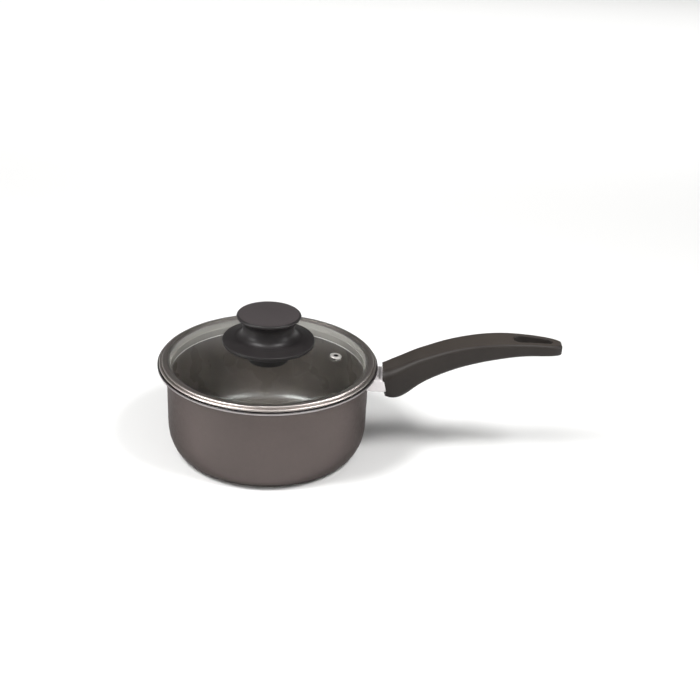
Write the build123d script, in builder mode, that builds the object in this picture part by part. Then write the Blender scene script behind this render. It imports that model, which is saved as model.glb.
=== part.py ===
from build123d import *
import os
from math import atan2, cos, degrees, radians, sin, sqrt

# Saucepan, 16 cm nominal, with a lift-off glass lid.
# Millimetres. The vessel's axis is Z, its base stands on Z = 0, and the
# handle points along +X.

# ---------------------------------------------------------------- vessel
WALL = 1.6                # side wall thickness
BASE_THICKNESS = 2.5      # pressed base
BODY_RADIUS = 82.0        # outside of the side wall, just under the flare
HEEL_RADIUS = 81.6        # outside of the wall where it meets the bottom corner
BASE_RADIUS = 68.7        # flat part of the base
CORNER_HEIGHT = 24.6      # height of the rounded bottom corner
FLARE_START = 66.0        # height where the wall starts to turn outwards
FLARE_RADIUS = 8.1        # outside radius of that turn
LIP_RADIUS = 89.3         # outer edge of the pouring lip
LIP_TOP = 75.6            # height of the lip
GROOVE_RADII = (20, 32, 44, 56)  # turned rings under the base

# ------------------------------------------------------------------- lid
GLASS_THICKNESS = 3.0
DOME_RADIUS = 480.0       # sphere of the glass top
DOME_TOP = 85.7           # highest point of the glass
DOME_EDGE = 79.0          # radius where the dome runs out into the flat edge
GLASS_EDGE_TOP = 78.9     # top of the flat edge
GLASS_RADIUS = 85.3
CENTRE_HOLE_RADIUS = 5.0  # hole in the glass for the knob's gasket and screw
BAND_SHEET = 0.4          # steel sheet of the rim band
BAND_INNER_RADIUS = 82.0  # inner edge of the band on top of the glass
BAND_WALL_RADIUS = 85.8   # wall of the band around the glass edge
BEAD_CENTRE = (86.75, 76.65)
BEAD_RADIUS = 1.25        # rolled bead that rests on the lip
SKIRT_RADIUS = 79.6       # outside of the skirt that hangs in the mouth
SKIRT_BOTTOM = 64.2
HEM_TOP = 70.6            # the skirt's lower edge is folded back up to here
BAND_FOLD = 1.1           # outer radius of the fold over the glass edge

# ------------------------------------------------------------- steam vent
VENT_X = 54.6
VENT_HOLE_RADIUS = 4.0    # hole in the glass
VENT_BORE_RADIUS = 1.75   # hole that lets the steam out
VENT_FLANGE_RADIUS = 4.8

# ------------------------------------------------------------------ knob
KNOB_TOP = 117.8
KNOB_DISC_RADIUS = 25.9
KNOB_WAIST_RADIUS = 20.9
KNOB_SKIRT_RADIUS = 37.2  # wide flange that keeps fingers off the glass
BOSS_RADIUS = 17.0
GASKET_BOTTOM = 86.0
GASKET_TOP = 86.9
INSERT_RADIUS = 4.45
UNDER_WASHER_TOP = 82.3
UNDER_WASHER_BOTTOM = 75.4
SCREW_CUP_TOP = 81.0      # floor of the cup that hides the lid screw's head
M5_RADIUS = 2.48          # M5 thread, drawn plain
M5_TAPPED = 2.5
M5_CLEARANCE = 2.9

# ---------------------------------------------------------------- handle
FIXING_HEIGHT = 64.2      # axis of the handle's screw
GUARD_WIDTH = 27.6        # folded flame guard between vessel and handle
GUARD_HEIGHT = 10.4
GUARD_SHEET = 0.8
GUARD_END = 99.5
STUD_WIDTH = 14.0
STUD_HEIGHT = 8.0
STUD_END = 104.0
SCREW_SEAT = 112.0        # floor of the screw's counterbore
SOCKET_CLEARANCE = 0.2
HANDLE_TIP = 236.0

os.makedirs("parts", exist_ok=True)


def dome_height(radius, drop=0.0):
    """Height of the glass top at a radius, lowered by drop."""
    return DOME_TOP - drop - radius**2 / (2 * DOME_RADIUS)


def wall_outline(gap=0.0):
    """Draw the upper wall's outer side and its flare, moved outwards by gap."""
    centre_r = BODY_RADIUS + FLARE_RADIUS
    arc_radius = FLARE_RADIUS - gap
    start = (BODY_RADIUS + gap, FLARE_START)
    middle = (centre_r - arc_radius * cos(radians(40)), FLARE_START + arc_radius * sin(radians(40)))
    end = (centre_r - arc_radius * cos(radians(77)), FLARE_START + arc_radius * sin(radians(77)))
    ThreePointArc(start, middle, end)
    return end


# ================================================================ vessel
with BuildPart() as vessel:
    with BuildSketch(Plane.XZ):
        with BuildLine():
            Line((0, 0), (BASE_RADIUS, 0))
            EllipticalCenterArc(
                (BASE_RADIUS, CORNER_HEIGHT), HEEL_RADIUS - BASE_RADIUS, CORNER_HEIGHT,
                start_angle=270, arc_size=90,
            )
            Line((HEEL_RADIUS, CORNER_HEIGHT), (BODY_RADIUS, FLARE_START))
            flare_end = wall_outline()
            Line(flare_end, (LIP_RADIUS, flare_end[1]))
            Line((LIP_RADIUS, flare_end[1]), (LIP_RADIUS, LIP_TOP - 0.4))
            RadiusArc((LIP_RADIUS, LIP_TOP - 0.4), (LIP_RADIUS - 0.4, LIP_TOP), -0.4)
            # inside of the flare: same centre, one wall further in
            inner_arc = FLARE_RADIUS + WALL
            centre_r = BODY_RADIUS + FLARE_RADIUS
            inner_end = (centre_r - sqrt(inner_arc**2 - (LIP_TOP - FLARE_START) ** 2), LIP_TOP)
            inner_middle = (
                centre_r - inner_arc * cos(radians(40)),
                FLARE_START + inner_arc * sin(radians(40)),
            )
            Line((LIP_RADIUS - 0.4, LIP_TOP), inner_end)
            ThreePointArc(inner_end, inner_middle, (BODY_RADIUS - WALL, FLARE_START))
            Line((BODY_RADIUS - WALL, FLARE_START), (HEEL_RADIUS - WALL, CORNER_HEIGHT))
            EllipticalCenterArc(
                (BASE_RADIUS, CORNER_HEIGHT),
                HEEL_RADIUS - WALL - BASE_RADIUS, CORNER_HEIGHT - BASE_THICKNESS,
                start_angle=270, arc_size=90,
            )
            Line((BASE_RADIUS, BASE_THICKNESS), (0, BASE_THICKNESS))
            Line((0, BASE_THICKNESS), (0, 0))
        make_face()
        # shallow turned rings in the resting face
        with Locations([(radius, 0) for radius in GROOVE_RADII]):
            Rectangle(1.6, 0.6, mode=Mode.SUBTRACT)
    revolve(axis=Axis.Z)
vessel.part.label = "vessel"

# =========================================================== handle stud
# Block welded to the wall. It carries the handle's screw.
with BuildPart() as handle_stud:
    with BuildSketch(Plane.YZ.offset(BODY_RADIUS - 4)) as stud_section:
        with Locations((0, FIXING_HEIGHT)):
            RectangleRounded(STUD_WIDTH, STUD_HEIGHT, 1.5)
    extrude(amount=STUD_END - BODY_RADIUS + 4)
    # trimmed to the round wall
    with BuildSketch(Plane.XZ):
        with BuildLine():
            Line((0, 50), (BODY_RADIUS + 0.05, 50))
            Line((BODY_RADIUS + 0.05, 50), (BODY_RADIUS + 0.05, FLARE_START))
            wall_end = wall_outline(0.05)
            Line(wall_end, (0, wall_end[1]))
            Line((0, wall_end[1]), (0, 50))
        make_face()
    revolve(axis=Axis.Z, mode=Mode.SUBTRACT)
    # tapped hole, from the outer end
    with Locations(Plane.YZ.offset(STUD_END)):
        with Locations((0, FIXING_HEIGHT)):
            Hole(M5_TAPPED, depth=14)
handle_stud.part.label = "handle_stud"

# =========================================================== flame guard
# Folded steel sleeve around the stud, from the wall into the handle.
with BuildPart() as flame_guard:
    with BuildSketch(Plane.YZ.offset(BODY_RADIUS - 6)):
        with Locations((0, FIXING_HEIGHT)):
            RectangleRounded(GUARD_WIDTH, GUARD_HEIGHT, 1.2)
            RectangleRounded(
                GUARD_WIDTH - 2 * GUARD_SHEET, GUARD_HEIGHT - 2 * GUARD_SHEET, 0.4,
                mode=Mode.SUBTRACT,
            )
    extrude(amount=GUARD_END - BODY_RADIUS + 6)
    with BuildSketch(Plane.XZ):
        with BuildLine():
            Line((0, 50), (BODY_RADIUS + 0.1, 50))
            Line((BODY_RADIUS + 0.1, 50), (BODY_RADIUS + 0.1, FLARE_START))
            wall_end = wall_outline(0.1)
            Line(wall_end, (0, wall_end[1]))
            Line((0, wall_end[1]), (0, 50))
        make_face()
    revolve(axis=Axis.Z, mode=Mode.SUBTRACT)
flame_guard.part.label = "flame_guard"

# ================================================================ handle
# Moulded handle, lofted through cross-sections that stand across X.
# Each section: position along X, half width, top, bottom, upper and lower
# corner radius.
HANDLE_SECTIONS = (
    (88, 15.0, 74.8, 52.2, 7.5, 7.5),
    (100, 15.0, 79.1, 52.8, 7.5, 7.5),
    (106, 14.8, 81.8, 53.2, 6.5, 7.5),
    (112, 14.2, 84.8, 56.2, 5.5, 7.0),
    (120, 13.7, 88.8, 62.9, 4.6, 6.5),
    (130, 13.5, 92.8, 70.3, 4.0, 6.0),
    (140, 13.4, 96.7, 75.8, 3.8, 5.7),
    (150, 13.4, 99.9, 80.6, 3.6, 5.5),
    (170, 13.4, 104.4, 87.8, 3.4, 5.0),
    (190, 13.1, 106.5, 92.8, 3.2, 4.5),
    (210, 11.3, 106.6, 95.2, 3.0, 4.0),
    (224, 9.7, 105.8, 95.3, 3.0, 3.8),
    (231, 8.1, 105.1, 95.4, 3.0, 3.6),
    (HANDLE_TIP, 4.6, 104.4, 95.6, 2.3, 2.8),
)
TOP_DISH = 0.6            # the thumb panel is slightly hollow
KEEL = 0.7                # the underside is slightly round
SLOT_ENDS = ((203.0, 6.0), (224.0, 4.0))  # hanging slot: end centres and radii
SLOT_LIP = 1.0            # rounding of the slot's upper edge
END_CONE = ((50.0, 97.7), (79.0, 92.7))   # height and radius of the end that faces the vessel

with BuildPart() as handle:
    for x, half_width, top, bottom, upper_radius, lower_radius in HANDLE_SECTIONS:
        with BuildSketch(Plane.YZ.offset(x)) as section:
            with BuildLine():
                foot = 0.95 * half_width
                Line((half_width, top), (foot, bottom))
                ThreePointArc((foot, bottom), (0, bottom - KEEL), (-foot, bottom))
                Line((-foot, bottom), (-half_width, top))
                ThreePointArc((-half_width, top), (0, top - TOP_DISH), (half_width, top))
            make_face()
            corners = section.vertices().group_by(Axis.Y)
            fillet(corners[-1], upper_radius)
            fillet(section.vertices().group_by(Axis.Y)[0], lower_radius)
    loft()
    # squarish rounded tip
    tip_edges = handle.faces().sort_by(Axis.X)[-1].edges()
    fillet(tip_edges, 1.9)
    # hollow end that follows the round vessel and leans with the handle
    with BuildSketch(Plane.XZ):
        with BuildLine():
            Polyline(
                (0, END_CONE[0][0] - 10),
                (END_CONE[0][1], END_CONE[0][0] - 10),
                (END_CONE[0][1], END_CONE[0][0]),
                (END_CONE[1][1], END_CONE[1][0]),
                (END_CONE[1][1], END_CONE[1][0] + 10),
                (0, END_CONE[1][0] + 10),
                close=True,
            )
        make_face()
    revolve(axis=Axis.Z, mode=Mode.SUBTRACT)
    # socket for the flame guard, then a pocket for the stud
    with BuildSketch(Plane.YZ.offset(90)):
        with Locations((0, FIXING_HEIGHT)):
            RectangleRounded(GUARD_WIDTH + 2 * SOCKET_CLEARANCE, GUARD_HEIGHT + 2 * SOCKET_CLEARANCE, 1.3)
    extrude(amount=GUARD_END + 0.3 - 90, mode=Mode.SUBTRACT)
    with BuildSketch(Plane.YZ.offset(90)):
        with Locations((0, FIXING_HEIGHT)):
            RectangleRounded(STUD_WIDTH + 2 * SOCKET_CLEARANCE, STUD_HEIGHT + 2 * SOCKET_CLEARANCE, 1.6)
    extrude(amount=STUD_END + 0.3 - 90, mode=Mode.SUBTRACT)
    # screw hole, with its counterbore open to the underside
    with BuildSketch(Plane.YZ.offset(STUD_END)):
        with Locations((0, FIXING_HEIGHT)):
            Circle(M5_CLEARANCE)
    extrude(amount=SCREW_SEAT - STUD_END + 1, mode=Mode.SUBTRACT)
    with BuildSketch(Plane.YZ.offset(SCREW_SEAT)):
        with Locations((0, FIXING_HEIGHT)):
            Circle(5.0)
    extrude(amount=22, mode=Mode.SUBTRACT)
    # hanging slot, wider towards the vessel
    with BuildSketch(Plane.XY.offset(85)) as slot_sketch:
        for slot_x, slot_radius in SLOT_ENDS:
            with Locations((slot_x, 0)):
                Circle(slot_radius)
        make_hull()
    extrude(amount=30, mode=Mode.SUBTRACT)
    slot_walls = handle.edges().filter_by_position(Axis.X, 196, 229)
    slot_walls = slot_walls.filter_by(lambda edge: abs(edge.center().Y) < 6.5 and edge.center().Z > 103)
    fillet(slot_walls, SLOT_LIP)
handle.part.label = "handle"

# ===================================================== handle screw, washer
with BuildPart() as handle_screw:
    with BuildSketch(Plane.YZ.offset(STUD_END - 12)):
        with Locations((0, FIXING_HEIGHT)):
            Circle(M5_RADIUS)
    extrude(amount=SCREW_SEAT + 1.05 - STUD_END + 12)
    with BuildSketch(Plane.YZ.offset(SCREW_SEAT + 1.05)):
        with Locations((0, FIXING_HEIGHT)):
            Circle(4.3)
    extrude(amount=3.2)
    fillet(handle_screw.faces().sort_by(Axis.X)[-1].edges(), 1.2)
    # cross recess
    with BuildSketch(Plane.YZ.offset(SCREW_SEAT + 4.25)):
        with Locations((0, FIXING_HEIGHT)):
            Rectangle(4.2, 0.9)
            Rectangle(0.9, 4.2)
    extrude(amount=-1.8, mode=Mode.SUBTRACT)
handle_screw.part.label = "handle_screw"

with BuildPart() as handle_screw_washer:
    with BuildSketch(Plane.YZ.offset(SCREW_SEAT)):
        with Locations((0, FIXING_HEIGHT)):
            Circle(4.7)
            Circle(2.65, mode=Mode.SUBTRACT)
    extrude(amount=1.0)
handle_screw_washer.part.label = "handle_screw_washer"

# ============================================================= lid glass
vent_tilt = degrees(atan2(VENT_X, DOME_RADIUS))
vent_plane = Plane(
    origin=(VENT_X, 0, dome_height(VENT_X)),
    x_dir=(cos(radians(vent_tilt)), 0, -sin(radians(vent_tilt))),
    z_dir=(sin(radians(vent_tilt)), 0, cos(radians(vent_tilt))),
)

with BuildPart() as lid_glass:
    with BuildSketch(Plane.XZ):
        with BuildLine():
            edge_start = DOME_EDGE + 3.5
            glass_edge_bottom = GLASS_EDGE_TOP - GLASS_THICKNESS
            slope = (1, -DOME_EDGE / DOME_RADIUS)
            dome_end = (DOME_EDGE, dome_height(DOME_EDGE))
            ThreePointArc((0, DOME_TOP), (40, dome_height(40)), dome_end)
            TangentArc(dome_end, (edge_start, GLASS_EDGE_TOP), tangent=slope)
            Line((edge_start, GLASS_EDGE_TOP), (GLASS_RADIUS - 0.8, GLASS_EDGE_TOP))
            RadiusArc(
                (GLASS_RADIUS - 0.8, GLASS_EDGE_TOP), (GLASS_RADIUS, GLASS_EDGE_TOP - 0.8), 0.8
            )
            Line((GLASS_RADIUS, GLASS_EDGE_TOP - 0.8), (GLASS_RADIUS, glass_edge_bottom + 0.8))
            RadiusArc(
                (GLASS_RADIUS, glass_edge_bottom + 0.8), (GLASS_RADIUS - 0.8, glass_edge_bottom), 0.8
            )
            Line((GLASS_RADIUS - 0.8, glass_edge_bottom), (edge_start, glass_edge_bottom))
            under_end = (DOME_EDGE, dome_height(DOME_EDGE, GLASS_THICKNESS))
            TangentArc(under_end, (edge_start, glass_edge_bottom), tangent=slope)
            ThreePointArc(
                under_end, (40, dome_height(40, GLASS_THICKNESS)), (0, DOME_TOP - GLASS_THICKNESS)
            )
            Line((0, DOME_TOP - GLASS_THICKNESS), (0, DOME_TOP))
        make_face()
    revolve(axis=Axis.Z)
    # centre hole for the knob, vent hole towards the handle
    with BuildSketch(Plane.XY.offset(70)):
        Circle(CENTRE_HOLE_RADIUS)
    extrude(amount=30, mode=Mode.SUBTRACT)
    with BuildSketch(vent_plane.offset(-8)):
        Circle(VENT_HOLE_RADIUS)
    extrude(amount=16, mode=Mode.SUBTRACT)
lid_glass.part.label = "lid_glass"

# ========================================================== lid rim band
# Roll-formed steel: it wraps the glass edge, ends in a rolled bead that
# rests on the lip, and hangs a skirt into the mouth.
with BuildPart() as lid_rim_band:
    with BuildSketch(Plane.XZ) as band_section:
        flange_z = GLASS_EDGE_TOP + 0.05
        shelf_z = GLASS_EDGE_TOP - GLASS_THICKNESS - 0.05 - BAND_SHEET
        # flange on top of the glass
        with Locations((BAND_INNER_RADIUS, flange_z)):
            Rectangle(BAND_WALL_RADIUS - BAND_INNER_RADIUS, BAND_SHEET, align=(Align.MIN, Align.MIN))
        # wall around the glass edge
        with Locations((BAND_WALL_RADIUS, shelf_z)):
            Rectangle(BAND_SHEET, flange_z + BAND_SHEET - shelf_z, align=(Align.MAX, Align.MIN))
        # shelf under the glass
        with Locations((SKIRT_RADIUS, shelf_z)):
            Rectangle(BAND_WALL_RADIUS - SKIRT_RADIUS, BAND_SHEET, align=(Align.MIN, Align.MIN))
        # skirt that hangs into the mouth
        with Locations((SKIRT_RADIUS, SKIRT_BOTTOM)):
            Rectangle(BAND_SHEET, shelf_z + BAND_SHEET - SKIRT_BOTTOM, align=(Align.MAX, Align.MIN))
        # hem: the sheet folded flat against the skirt's inner side
        with Locations((SKIRT_RADIUS - BAND_SHEET, SKIRT_BOTTOM)):
            Rectangle(BAND_SHEET, HEM_TOP - SKIRT_BOTTOM, align=(Align.MAX, Align.MIN))
        # rolled bead, with its seam open underneath
        with Locations(BEAD_CENTRE):
            Circle(BEAD_RADIUS)
            Circle(BEAD_RADIUS - BAND_SHEET, mode=Mode.SUBTRACT)
        with Locations((BEAD_CENTRE[0] - 0.55, BEAD_CENTRE[1] - BEAD_RADIUS + 0.1)):
            Rectangle(0.4, 1.0, mode=Mode.SUBTRACT)
        # rounded fold where the flange turns down, and the fold of the hem
        for corner_r, corner_z, fold in (
            (BAND_WALL_RADIUS, flange_z + BAND_SHEET, BAND_FOLD),
            (BAND_WALL_RADIUS - BAND_SHEET, flange_z, BAND_FOLD - BAND_SHEET),
            (SKIRT_RADIUS, SKIRT_BOTTOM, 0.35),
            (SKIRT_RADIUS - 2 * BAND_SHEET, SKIRT_BOTTOM, 0.35),
        ):
            corner = band_section.vertices().sort_by_distance((corner_r, corner_z))[0]
            fillet(corner, fold)
    revolve(axis=Axis.Z)
lid_rim_band.part.label = "lid_rim_band"

# ============================================== steam vent eyelet, gasket
with BuildPart() as vent_eyelet:
    with BuildSketch(vent_plane.offset(0.1)):
        Circle(VENT_FLANGE_RADIUS)
    extrude(amount=1.0)
    fillet(vent_eyelet.edges().group_by(Axis.Z)[-1], 0.7)
    with BuildSketch(vent_plane.offset(-GLASS_THICKNESS - 1.0)):
        Circle(2.6)
    extrude(amount=GLASS_THICKNESS + 1.5)
    with BuildSketch(vent_plane.offset(-GLASS_THICKNESS - 0.9)):
        Circle(4.4)
    extrude(amount=0.7)
    with BuildSketch(vent_plane.offset(-8)):
        Circle(VENT_BORE_RADIUS)
    extrude(amount=16, mode=Mode.SUBTRACT)
    mouth = vent_eyelet.edges().filter_by(GeomType.CIRCLE)
    mouth = mouth.filter_by(lambda edge: abs(edge.radius - VENT_BORE_RADIUS) < 0.01)
    fillet(mouth.sort_by(Axis.Z)[-1], 0.6)
vent_eyelet.part.label = "vent_eyelet"

with BuildPart() as vent_gasket:
    with BuildSketch(vent_plane.offset(-GLASS_THICKNESS)):
        Circle(VENT_HOLE_RADIUS - 0.05)
        Circle(2.65, mode=Mode.SUBTRACT)
    extrude(amount=GLASS_THICKNESS)
vent_gasket.part.label = "vent_gasket"

# ================================================================== knob
with BuildPart() as lid_knob:
    with BuildSketch(Plane.XZ):
        with BuildLine():
            Line((0, GASKET_TOP), (BOSS_RADIUS, GASKET_TOP))
            Line((BOSS_RADIUS, GASKET_TOP), (BOSS_RADIUS, 91.8))
            Line((BOSS_RADIUS, 91.8), (36.0, 92.6))
            # edge of the wide flange
            ThreePointArc((36.0, 92.6), (36.85, 92.85), (KNOB_SKIRT_RADIUS, 93.5))
            Line((KNOB_SKIRT_RADIUS, 93.5), (KNOB_SKIRT_RADIUS, 95.5))
            ThreePointArc((KNOB_SKIRT_RADIUS, 95.5), (37.05, 95.87), (36.7, 96.1))
            Line((36.7, 96.1), (27.4, 98.3))
            # waist between flange and disc
            ThreePointArc((27.4, 98.3), (22.7, 100.3), (KNOB_WAIST_RADIUS, 104.8))
            Line((KNOB_WAIST_RADIUS, 104.8), (KNOB_WAIST_RADIUS, 108.4))
            ThreePointArc((KNOB_WAIST_RADIUS, 108.4), (22.0, 112.2), (24.9, 114.6))
            # rounded edge of the top disc
            ThreePointArc((24.9, 114.6), (KNOB_DISC_RADIUS, 116.2), (24.4, KNOB_TOP))
            Line((24.4, KNOB_TOP), (21.6, KNOB_TOP))
            # slightly hollow finger rest
            TangentArc((0, KNOB_TOP - 0.75), (21.6, KNOB_TOP), tangent=(1, 0))
            Line((0, KNOB_TOP - 0.75), (0, GASKET_TOP))
        make_face()
    revolve(axis=Axis.Z)
    # blind bore for the threaded insert
    with BuildSketch(Plane.XY.offset(GASKET_TOP)):
        Circle(INSERT_RADIUS + 0.05)
    extrude(amount=15.5, mode=Mode.SUBTRACT)
lid_knob.part.label = "lid_knob"

with BuildPart() as knob_insert:
    with BuildSketch(Plane.XY.offset(GASKET_TOP + 0.3)):
        Circle(INSERT_RADIUS)
    extrude(amount=14.6)
    # grip groove around the middle
    with BuildSketch(Plane.XY.offset(GASKET_TOP + 6.6)):
        Circle(INSERT_RADIUS)
        Circle(INSERT_RADIUS - 0.6, mode=Mode.SUBTRACT)
    extrude(amount=2.0, mode=Mode.SUBTRACT)
    with BuildSketch(Plane.XY.offset(GASKET_TOP)):
        Circle(M5_TAPPED)
    extrude(amount=13.5, mode=Mode.SUBTRACT)
knob_insert.part.label = "knob_insert"

with BuildPart() as knob_gasket:
    with BuildSketch(Plane.XY.offset(GASKET_BOTTOM)):
        Circle(BOSS_RADIUS - 0.5)
    extrude(amount=GASKET_TOP - GASKET_BOTTOM)
    with BuildSketch(Plane.XY.offset(UNDER_WASHER_TOP + 0.1)):
        Circle(CENTRE_HOLE_RADIUS - 0.2)
    extrude(amount=GASKET_BOTTOM - UNDER_WASHER_TOP)
    with BuildSketch(Plane.XY.offset(80)):
        Circle(M5_CLEARANCE)
    extrude(amount=10, mode=Mode.SUBTRACT)
knob_gasket.part.label = "knob_gasket"

# ================================================== fixings under the lid
with BuildPart() as under_lid_washer:
    with BuildSketch(Plane.XY.offset(UNDER_WASHER_BOTTOM)):
        Circle(BOSS_RADIUS)
    extrude(amount=UNDER_WASHER_TOP - UNDER_WASHER_BOTTOM)
    fillet(under_lid_washer.edges().group_by(Axis.Z)[0], 2.5)
    # cup for the screw's head, and the screw's hole
    with BuildSketch(Plane.XY.offset(UNDER_WASHER_BOTTOM)):
        Circle(5.7)
    extrude(amount=SCREW_CUP_TOP - UNDER_WASHER_BOTTOM, mode=Mode.SUBTRACT)
    with BuildSketch(Plane.XY.offset(UNDER_WASHER_BOTTOM)):
        Circle(M5_CLEARANCE)
    extrude(amount=8, mode=Mode.SUBTRACT)
under_lid_washer.part.label = "under_lid_washer"

with BuildPart() as lid_screw_washer:
    with BuildSketch(Plane.XY.offset(SCREW_CUP_TOP - 0.8)):
        Circle(5.3)
        Circle(M5_CLEARANCE - 0.1, mode=Mode.SUBTRACT)
    extrude(amount=0.8)
lid_screw_washer.part.label = "lid_screw_washer"

with BuildPart() as lid_screw:
    with BuildSketch(Plane.XY.offset(77.5)):
        Circle(4.4)
    extrude(amount=2.5)
    fillet(lid_screw.edges().group_by(Axis.Z)[0], 1.2)
    with BuildSketch(Plane.XY.offset(79.9)):
        Circle(M5_RADIUS)
    extrude(amount=18)
    # cross recess
    with BuildSketch(Plane.XY.offset(77.5)):
        Rectangle(4.4, 0.9)
        Rectangle(0.9, 4.4)
    extrude(amount=1.7, mode=Mode.SUBTRACT)
lid_screw.part.label = "lid_screw"

for part_builder in (
    vessel, handle_stud, flame_guard, handle, handle_screw, handle_screw_washer,
    lid_glass, lid_rim_band, vent_eyelet, vent_gasket, lid_knob, knob_insert,
    knob_gasket, under_lid_washer, lid_screw_washer, lid_screw,
):
    export_step(part_builder.part, f"parts/{part_builder.part.label}.step")
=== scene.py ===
import math
import bmesh
import bpy
from mathutils import Matrix, Vector

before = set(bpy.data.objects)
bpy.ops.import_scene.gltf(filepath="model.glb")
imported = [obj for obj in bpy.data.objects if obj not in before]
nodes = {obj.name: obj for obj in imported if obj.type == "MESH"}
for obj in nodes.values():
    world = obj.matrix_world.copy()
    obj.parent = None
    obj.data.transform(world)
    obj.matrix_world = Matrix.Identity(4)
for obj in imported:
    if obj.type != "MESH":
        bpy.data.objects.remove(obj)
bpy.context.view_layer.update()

# places on the vessel and the lid, in metres from the vessel's axis and base
LIP_EDGE = 0.0891         # the machined edge of the lip starts at this radius
LIP_EDGE_BOTTOM = 0.07385
LIP_EDGE_TOP = 0.0751
CROWN_RADIUS = 0.0862     # the lip's dark crown starts at this radius
CROWN_BOTTOM = 0.0740
BASE_FACE = 0.0005        # the turned face under the vessel reaches up to here
BASE_RADIUS = 0.0700
SKIRT_RADIUS = 0.0797     # the band's skirt lies inside this radius
SKIRT_TOP = 0.0754
HEM_RADIUS = 0.07895      # the folded hem lies inside this radius
HEM_TOP = 0.0704
HEM_EDGE = 0.0650         # the painted highlight on the skirt's folded bottom edge reaches up to here
VENT_CENTRE = (0.0546, 0, 0.08086)
VENT_AXIS = (0.113, 0, 0.9936)
VENT_BORE = 0.0020
VENT_RING = 0.0012        # the eyelet's bright ring starts this far above its centre
KNOB_TOP_FACE = 0.11      # of the knob's faces that point up, only the top one is above this, and only it gets painted top light


# ---------------------------------------------------------------- camera
def make_camera():
    """The camera stands in front of the pan, above it, and leans a little."""
    elevation = math.radians(25.74)
    lean_angle = math.radians(2.76)
    distance = 1.0
    target = Vector((0.066, 0.0, 0.08906))
    back = Vector((0.0, -math.cos(elevation), math.sin(elevation)))
    data = bpy.data.cameras.new("camera")
    data.sensor_width = 36.0
    data.lens = 63.57
    data.clip_start = 0.01
    data.clip_end = 50
    cam = bpy.data.objects.new("camera", data)
    bpy.context.scene.collection.objects.link(cam)
    lean = Matrix.Rotation(lean_angle, 4, "Z")
    look = Matrix.Rotation(math.pi / 2 - elevation, 4, "X")
    cam.matrix_world = Matrix.Translation(target + back * distance) @ look @ lean
    bpy.context.scene.camera = cam


# ---------------------------------------------------------------- studio
PAN_MIDDLE = Vector((0.05, 0, 0.05))  # the lights stand around this point and face it


def area_light(name, azimuth, elevation, distance, width, height, power):
    """A soft panel that faces the pan. Azimuth 0 is the camera's side, positive to the right."""
    az = math.radians(azimuth)
    el = math.radians(elevation)
    out = Vector((math.sin(az) * math.cos(el), -math.cos(az) * math.cos(el), math.sin(el)))
    place = PAN_MIDDLE + out * distance
    data = bpy.data.lights.new(name, "AREA")
    data.shape = "RECTANGLE"
    data.size = width
    data.size_y = height
    data.energy = power
    lamp = bpy.data.objects.new(name, data)
    bpy.context.scene.collection.objects.link(lamp)
    lamp.location = place
    lamp.rotation_euler = (PAN_MIDDLE - place).to_track_quat("-Z", "Y").to_euler()
    return lamp


def make_world():
    """The room's own light: pale overhead, in front and low down all round, dim behind the pan."""
    world = bpy.data.worlds.new("studio")
    bpy.context.scene.world = world
    world.use_nodes = True
    tree = world.node_tree
    background = tree.nodes["Background"]
    coords = tree.nodes.new("ShaderNodeTexCoord")
    split = tree.nodes.new("ShaderNodeSeparateXYZ")
    tree.links.new(coords.outputs["Generated"], split.inputs[0])

    def glow(axis, start, end, low, high):
        """How bright the room is, from low to high, along one direction."""
        made = tree.nodes.new("ShaderNodeMapRange")
        tree.links.new(split.outputs[axis], made.inputs["Value"])
        for name, value in (("From Min", start), ("From Max", end), ("To Min", low), ("To Max", high)):
            made.inputs[name].default_value = value
        return made.outputs[0]

    def add(a, b):
        """The sum of two outputs: a new math node adds."""
        made = tree.nodes.new("ShaderNodeMath")
        tree.links.new(a, made.inputs[0])
        tree.links.new(b, made.inputs[1])
        return made.outputs[0]

    overhead = glow("Z", 0.74, 0.95, 0.0, 0.12)
    front = glow("Y", 0.25, -0.35, 0.03, 0.10)
    low_down = glow("Z", 0.30, 0.46, 0.22, 0.0)
    strength = add(add(overhead, front), low_down)
    tree.links.new(strength, background.inputs["Strength"])
    background.inputs["Color"].default_value = (1, 0.985, 0.965, 1)


def make_lights():
    """Two softboxes, a weak panel above, two strips near the floor, and one panel for the far floor."""
    area_light("panel_left", -58, 56, 1.5, 0.42, 0.48, 24)
    area_light("panel_right", 58, 56, 1.5, 0.38, 0.46, 19)
    area_light("panel_top", 0, 76, 1.6, 1.8, 1.3, 6)
    area_light("strip_left", -66, 9, 1.5, 0.12, 0.5, 11)
    area_light("strip_right", 75, 9, 1.5, 0.12, 0.5, 8)
    far = area_light("panel_far", 180, 39, 2.2, 4.8, 1.7, 29)
    far.rotation_euler = (0, 0, 0)
    far.data.spread = math.radians(60)


def make_floor():
    """A plain pale floor, a hair below the base so that the two faces don't meet."""
    mesh = bpy.data.meshes.new("floor")
    bm = bmesh.new()
    bmesh.ops.create_grid(bm, x_segments=4, y_segments=4, size=6)
    bm.to_mesh(mesh)
    bm.free()
    floor = bpy.data.objects.new("floor", mesh)
    bpy.context.scene.collection.objects.link(floor)
    floor.location = (0, 0, -0.0002)
    mat = bpy.data.materials.new("floor")
    mat.use_nodes = True
    shader = mat.node_tree.nodes["Principled BSDF"]
    shader.inputs["Base Color"].default_value = (0.7, 0.7, 0.695, 1)
    shader.inputs["Roughness"].default_value = 0.9
    mesh.materials.append(mat)


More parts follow.
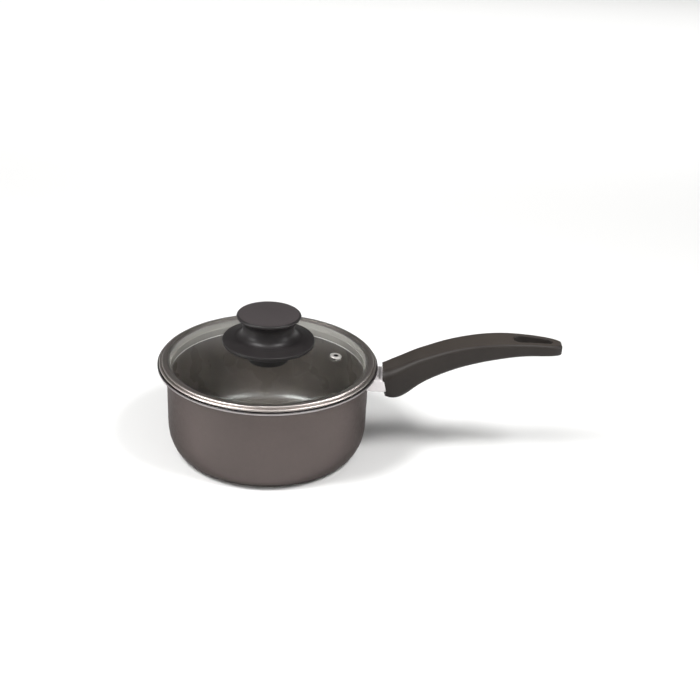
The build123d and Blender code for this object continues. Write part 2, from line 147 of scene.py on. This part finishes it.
# -------------------------------------------------------------- node tools
class Tree:
    """A material's node tree, with short ways to add and join nodes."""

    def __init__(self, name):
        self.material = bpy.data.materials.new(name)
        self.material.use_nodes = True
        self.tree = self.material.node_tree
        self.shader = self.tree.nodes["Principled BSDF"]
        coords = self.tree.nodes.new("ShaderNodeTexCoord")
        self.position = coords.outputs["Object"]
        self.normal = coords.outputs["Normal"]

    def put(self, socket, value):
        """Join an output to a socket, or set the socket's constant."""
        if isinstance(value, bpy.types.NodeSocket):
            self.tree.links.new(value, socket)
        else:
            socket.default_value = value

    def node(self, kind, inputs=None, **settings):
        made = self.tree.nodes.new(kind)
        for key, value in settings.items():
            setattr(made, key, value)
        for key, value in (inputs or {}).items():
            self.put(made.inputs[key], value)
        return made

    def math(self, operation, a, b):
        return self.node("ShaderNodeMath", {0: a, 1: b}, operation=operation).outputs[0]

    def vector_math(self, operation, a, b=(0, 0, 0)):
        second = "Scale" if operation == "SCALE" else 1
        made = self.node("ShaderNodeVectorMath", {0: a, second: b}, operation=operation)
        return made.outputs["Value" if operation in ("LENGTH", "DOT_PRODUCT") else "Vector"]

    def scaled(self, scale):
        return self.node("ShaderNodeMapping", {"Vector": self.position, "Scale": scale}).outputs["Vector"]

    def noise(self, scale, detail=2.0, roughness=0.5, vector=None):
        made = self.node(
            "ShaderNodeTexNoise",
            {"Vector": vector or self.position, "Scale": scale, "Detail": detail, "Roughness": roughness},
        )
        return made.outputs["Fac"]

    def spread(self, value, low, high, to_low, to_high):
        """Map low..high to to_low..to_high, held at the ends."""
        made = self.node("ShaderNodeMapRange", {
            "Value": value, "From Min": low, "From Max": high, "To Min": to_low, "To Max": to_high,
        })
        return made.outputs["Result"]

    def mix(self, factor, a, b):
        made = self.node("ShaderNodeMix", data_type="RGBA")
        self.put(made.inputs["Factor"], factor)
        self.put(made.inputs["A"], a)
        self.put(made.inputs["B"], b)
        return made.outputs["Result"]

    def mix_value(self, factor, a, b):
        made = self.node("ShaderNodeMix", data_type="FLOAT")
        self.put(made.inputs["Factor"], factor)
        self.put(made.inputs["A"], a)
        self.put(made.inputs["B"], b)
        return made.outputs["Result"]

    def bump(self, height, distance, strength):
        inputs = {"Height": height, "Distance": distance, "Strength": strength}
        return self.node("ShaderNodeBump", inputs).outputs["Normal"]

    def radius(self):
        """Distance from the Z axis."""
        flat = self.vector_math("MULTIPLY", self.position, (1, 1, 0))
        return self.vector_math("LENGTH", flat)

    def height(self):
        return self.node("ShaderNodeSeparateXYZ", {0: self.position}).outputs["Z"]

    def up(self):
        """How far the surface faces up, from -1 to 1."""
        return self.node("ShaderNodeSeparateXYZ", {0: self.normal}).outputs["Z"]

    def ring_lines(self, r, z, scale, detail):
        """Noise that is the same all the way round, as turning or rolling leaves it."""
        across = self.math("MULTIPLY", r, scale)
        down = self.math("MULTIPLY", z, scale)
        along = self.node("ShaderNodeCombineXYZ", {"X": across, "Y": down}).outputs[0]
        made = self.node("ShaderNodeTexNoise", {"Vector": along, "Scale": 1.0, "Detail": detail})
        return made.outputs["Fac"]

    def within(self, value, edge, soft):
        """1 below edge, 0 above it, over a soft step."""
        return self.spread(value, edge, edge + soft, 1, 0)

    def beyond(self, value, edge, soft):
        """0 below edge, 1 above it, over a soft step."""
        return self.spread(value, edge, edge + soft, 0, 1)

    def set(self, **values):
        """Shader sockets by name, with _ for a space."""
        for key, value in values.items():
            self.put(self.shader.inputs[key.replace("_", " ")], value)

    def give(self, *names):
        for name in names:
            mesh = nodes[name].data
            mesh.materials.clear()
            mesh.materials.append(self.material)


def rgb(r, g, b):
    """Linear colour from 0-255 sRGB."""
    def linear(c):
        c /= 255
        return c / 12.92 if c <= 0.04045 else ((c + 0.055) / 1.055) ** 2.4
    return (linear(r), linear(g), linear(b), 1.0)


# --------------------------------------------------------------- materials
def vessel_material():
    """Metallic paint outside, dark non-stick inside, bare machined lip edge, turned base."""
    t = Tree("vessel_finish")
    r, z = t.radius(), t.height()

    # which side a point is on, from its normal: outwards and down is outside
    moved = t.vector_math("MULTIPLY", t.position, (1, 1, 0))
    radial = t.vector_math("DOT_PRODUCT", t.vector_math("NORMALIZE", moved), t.normal)
    facing = t.math("SUBTRACT", radial, t.up())
    inside = t.spread(facing, -0.05, 0.05, 1.0, 0.0)

    # metallic paint: fine flakes and a slow drift in tone
    flakes = t.noise(5200, 2.0, 0.7)
    drift = t.noise(14, 3.0)
    flake_mask = t.spread(flakes, 0.56, 0.72, 0.0, 1.0)
    paint = t.mix(t.spread(drift, 0.3, 0.7, 0, 1), rgb(84, 77, 75), rgb(90, 82, 80))
    paint = t.mix(t.math("MULTIPLY", flake_mask, 0.25), paint, rgb(140, 130, 126))

    # non-stick: dark grey with pale specks
    specks = t.noise(3800, 1.0, 0.4)
    speck_mask = t.spread(specks, 0.66, 0.72, 0.0, 0.4)
    coat = t.mix(t.spread(t.noise(25, 2.0), 0.3, 0.7, 0, 1), rgb(64, 59, 55), rgb(69, 63, 59))
    coat = t.mix(speck_mask, coat, rgb(96, 90, 84))

    colour = t.mix(inside, paint, coat)

    # bare metal: machined edge of the lip and the turned base
    edge = t.math("MULTIPLY", t.beyond(r, LIP_EDGE, 0.00006), t.beyond(z, LIP_EDGE_BOTTOM, 0.0001))
    edge = t.math("MULTIPLY", edge, t.within(z, LIP_EDGE_TOP, 0.00006))
    # painted shade: the lip's outer top ring keeps its dark coat, painted darker still for the shadow in
    # the gap below the lid band
    crown_coat_and_shade = t.math("MULTIPLY", t.beyond(r, CROWN_RADIUS, 0.0004), t.beyond(z, CROWN_BOTTOM, 0.0002))
    base = t.math("MULTIPLY", t.within(z, BASE_FACE, 0.0002), t.within(r, BASE_RADIUS, 0.0004))
    bare = t.math("MAXIMUM", edge, base)
    rings = t.ring_lines(r, z, 9000, 3.0)
    metal = t.mix(rings, rgb(140, 135, 135), rgb(160, 155, 155))
    colour = t.mix(crown_coat_and_shade, colour, rgb(24, 20, 20))
    colour = t.mix(bare, colour, metal)

    rough_paint = t.spread(t.noise(300, 3.0), 0.3, 0.7, 0.38, 0.46)
    rough_coat = t.spread(t.noise(40, 2.0), 0.3, 0.7, 0.26, 0.30)
    rough = t.mix_value(inside, rough_paint, rough_coat)
    rough = t.mix_value(bare, rough, t.spread(rings, 0.3, 0.7, 0.22, 0.34))
    metallic = t.mix_value(t.math("MAXIMUM", inside, crown_coat_and_shade), 0.85, 0.0)
    metallic = t.mix_value(bare, metallic, 1.0)
    peel = t.math("MULTIPLY", t.noise(900, 2.0), t.mix_value(inside, 1.0, 0.2))
    height = t.mix_value(bare, peel, rings)
    t.set(Base_Color=colour, Roughness=rough, Metallic=metallic, Normal=t.bump(height, 0.00003, 0.2))
    t.set(Coat_Weight=inside)
    t.shader.inputs["Coat Roughness"].default_value = 0.3
    t.shader.inputs["Coat IOR"].default_value = 1.6
    t.shader.inputs["Specular IOR Level"].default_value = 0.6
    t.shader.inputs["Specular Tint"].default_value = (0.45, 0.45, 0.45, 1)
    t.give("vessel")


def phenolic_material(name, dark, light, lit_top_colour, level, above, rough, parts):
    """Moulded phenolic: satin, mottled and finely grained, and painted lighter on faces that point up, as
    painted light from above.

    A face counts as pointing up past level, and only above the height above.
    """
    t = Tree(name)
    mottle = t.noise(45, 4.0, 0.6)
    grain = t.noise(2300, 2.0, 0.6)
    colour = t.mix(t.spread(mottle, 0.3, 0.7, 0, 1), dark, light)
    # painted light: faces that point up are mixed towards a lighter colour, as if lit from above
    painted_top_light = t.math("MULTIPLY", t.spread(t.up(), level, 0.995, 0, 1), t.spread(mottle, 0.3, 0.7, 0.8, 1.0))
    painted_top_light = t.math("MULTIPLY", painted_top_light, t.beyond(t.height(), above, 0.001))
    colour = t.mix(painted_top_light, colour, lit_top_colour)
    colour = t.mix(t.spread(grain, 0.35, 0.8, 0, 0.12), colour, rgb(80, 75, 71))
    patches = t.spread(mottle, 0.3, 0.7, rough - 0.04, rough + 0.05)
    roughness = t.math("ADD", patches, t.spread(grain, 0.3, 0.7, -0.03, 0.03))
    t.set(Base_Color=colour, Roughness=roughness, Normal=t.bump(grain, 0.00004, 0.22))
    t.shader.inputs["Specular IOR Level"].default_value = 0.2
    t.give(*parts)


def steel_material(name, dark, light, rough_low, rough_high, parts):
    """Turned metal, with fine lines that run round the Z axis and a few dull smudges."""
    t = Tree(name)
    lines = t.ring_lines(t.radius(), t.height(), 9000, 4.0)
    smudge = t.noise(70, 3.0)
    colour = t.mix(t.spread(lines, 0.3, 0.7, 0, 1), dark, light)
    colour = t.mix(t.spread(smudge, 0.45, 0.75, 0, 0.18), colour, rgb(120, 115, 110))
    rough = t.spread(lines, 0.3, 0.7, rough_low, rough_high)
    rough = t.math("ADD", rough, t.spread(smudge, 0.4, 0.7, 0.0, 0.05))
    t.set(Base_Color=colour, Roughness=rough, Normal=t.bump(lines, 0.00001, 0.25))
    t.shader.inputs["Metallic"].default_value = 1.0
    t.give(*parts)


def band_material():
    """Roll-formed stainless band: polished around the glass, duller on the skirt, with painted shade on its
    folded bottom part and a painted highlight along its bottom edge.
    """
    t = Tree("band_steel")
    r, z = t.radius(), t.height()
    lines = t.ring_lines(r, z, 7000, 4.0)
    smudge = t.noise(55, 3.0)
    skirt = t.math("MULTIPLY", t.within(r, SKIRT_RADIUS, 0.0002), t.within(z, SKIRT_TOP, 0.0002))
    folded = t.math("MULTIPLY", t.within(r, HEM_RADIUS, 0.0001), t.within(z, HEM_TOP, 0.0001))
    # painted shade: the skirt's folded bottom part is painted darker, so the skirt darkens towards its
    # bottom
    shaded_hem = t.math("MULTIPLY", skirt, folded)
    # painted highlight: the skirt's folded bottom edge is painted near-white for the light it catches
    painted_fold_highlight = t.math("MULTIPLY", skirt, t.within(z, HEM_EDGE, 0.0001))
    polished = t.mix(t.spread(lines, 0.3, 0.7, 0, 1), rgb(168, 161, 157), rgb(186, 179, 175))
    dull = t.mix(t.spread(lines, 0.3, 0.7, 0, 1), rgb(138, 134, 129), rgb(152, 148, 143))
    colour = t.mix(skirt, polished, dull)
    colour = t.mix(t.math("MULTIPLY", shaded_hem, 0.7), colour, rgb(104, 99, 94))
    colour = t.mix(painted_fold_highlight, colour, rgb(240, 238, 234))
    colour = t.mix(t.spread(smudge, 0.45, 0.75, 0, 0.12), colour, rgb(140, 134, 128))
    rough = t.mix_value(skirt, t.spread(lines, 0.3, 0.7, 0.33, 0.41), t.spread(lines, 0.3, 0.7, 0.55, 0.65))
    metallic = t.mix_value(skirt, 1.0, 0.35)
    t.set(Base_Color=colour, Roughness=rough, Metallic=metallic, Normal=t.bump(lines, 0.00001, 0.05))
    t.give("lid_rim_band")


def sheet_steel_material(name, parts):
    """Folded satin sheet with fine brushing along X, shaded as a pale coat so that it stays light."""
    t = Tree(name)
    brushed = t.noise(1.0, 4.0, 0.6, t.scaled((260, 5200, 5200)))
    smudge = t.noise(90, 3.0)
    colour = t.mix(t.spread(brushed, 0.3, 0.7, 0, 1), rgb(212, 207, 208), rgb(224, 219, 220))
    rough = t.math("ADD", t.spread(brushed, 0.3, 0.7, 0.36, 0.46), t.spread(smudge, 0.4, 0.7, 0.0, 0.06))
    t.set(Base_Color=colour, Roughness=rough, Normal=t.bump(brushed, 0.00001, 0.15))
    t.shader.inputs["Metallic"].default_value = 0.0
    t.shader.inputs["Specular IOR Level"].default_value = 0.8
    t.give(*parts)


def eyelet_material():
    """Bright rolled eyelet, with painted shade in the hole through it and painted shade beneath the glass,
    where it is also rougher.
    """
    t = Tree("vent_steel")
    moved = t.vector_math("SUBTRACT", t.position, VENT_CENTRE)
    along = t.vector_math("DOT_PRODUCT", moved, VENT_AXIS)
    flat = t.vector_math("SUBTRACT", moved, t.vector_math("SCALE", VENT_AXIS, along))
    r = t.vector_math("LENGTH", flat)
    grain = t.noise(2500, 3.0)
    # painted shade: the hole through the eyelet is painted near-black, as it lies in shadow
    shaded_bore = t.within(r, VENT_BORE, 0.0002)
    # painted shade: the eyelet below its bright ring, beneath the glass, is painted darker
    shaded_under_glass = t.within(along, VENT_RING, 0.0004)
    colour = t.mix(t.spread(grain, 0.3, 0.7, 0, 1), rgb(176, 172, 168), rgb(200, 196, 192))
    colour = t.mix(shaded_under_glass, colour, rgb(96, 92, 88))
    colour = t.mix(shaded_bore, colour, rgb(20, 18, 17))
    dull = t.math("MAXIMUM", shaded_bore, shaded_under_glass)
    rough = t.mix_value(dull, t.spread(grain, 0.3, 0.7, 0.28, 0.36), 0.6)
    metallic = t.mix_value(shaded_bore, 0.6, 0.0)
    t.set(Base_Color=colour, Roughness=rough, Metallic=metallic, Normal=t.bump(grain, 0.00001, 0.1))
    t.give("vent_eyelet")


def glass_material():
    """Clear tempered glass with a faint tint and a few specks of dust. It lets lamps through."""
    t = Tree("glass_finish")
    haze = t.noise(55, 4.0)
    dust = t.noise(1500, 1.0)
    colour = t.mix(t.spread(haze, 0.3, 0.7, 0, 1), (0.93, 0.95, 0.94, 1), (0.97, 0.98, 0.975, 1))
    colour = t.mix(t.spread(dust, 0.72, 0.78, 0.0, 0.5), colour, (0.86, 0.87, 0.86, 1))
    t.set(Base_Color=colour, Roughness=0.0)
    t.shader.inputs["Transmission Weight"].default_value = 1.0
    t.shader.inputs["IOR"].default_value = 1.5
    shadow = t.node("ShaderNodeLightPath").outputs["Is Shadow Ray"]
    through = t.node("ShaderNodeBsdfTransparent", {"Color": (0.94, 0.95, 0.945, 1)})
    both = t.node("ShaderNodeMixShader", {0: shadow, 1: t.shader.outputs[0], 2: through.outputs[0]})
    t.tree.links.new(both.outputs[0], t.tree.nodes["Material Output"].inputs["Surface"])
    t.give("lid_glass")


def rubber_material(parts):
    """Black silicone: matt and finely grained."""
    t = Tree("silicone_finish")
    grain = t.noise(1800, 3.0)
    colour = t.mix(t.spread(grain, 0.3, 0.7, 0, 1), rgb(24, 23, 23), rgb(36, 34, 34))
    rough = t.spread(grain, 0.3, 0.7, 0.55, 0.7)
    t.set(Base_Color=colour, Roughness=rough, Normal=t.bump(grain, 0.00003, 0.2))
    t.give(*parts)


make_camera()
make_world()
make_lights()
make_floor()
bpy.context.scene.view_settings.view_transform = "Standard"
vessel_material()
# for the handle and the knob, the third colour is painted light on faces that point up
phenolic_material(
    "handle_phenolic", dark=rgb(33, 29, 27), light=rgb(38, 34, 31), lit_top_colour=rgb(54, 49, 45),
    level=0.85, above=0.0, rough=0.5, parts=["handle"],
)
phenolic_material(
    "knob_phenolic", dark=rgb(26, 24, 25), light=rgb(31, 29, 30), lit_top_colour=rgb(56, 52, 53),
    level=0.96, above=KNOB_TOP_FACE, rough=0.40, parts=["lid_knob"],
)
band_material()
lid_fixings = ["lid_screw", "lid_screw_washer"]
handle_fixings = ["handle_screw", "handle_screw_washer"]
steel_material("screw_steel", rgb(180, 178, 176), rgb(208, 206, 204), 0.22, 0.32, lid_fixings)
steel_material("zinc_steel", rgb(176, 178, 182), rgb(206, 208, 212), 0.24, 0.36, handle_fixings)
eyelet_material()
steel_material("insert_brass", rgb(190, 156, 92), rgb(214, 180, 112), 0.22, 0.32, ["knob_insert"])
steel_material("stud_aluminium", rgb(190, 190, 192), rgb(206, 206, 208), 0.4, 0.5, ["handle_stud"])
sheet_steel_material("guard_steel", ["flame_guard"])
glass_material()
rubber_material(["vent_gasket", "knob_gasket", "under_lid_washer"])
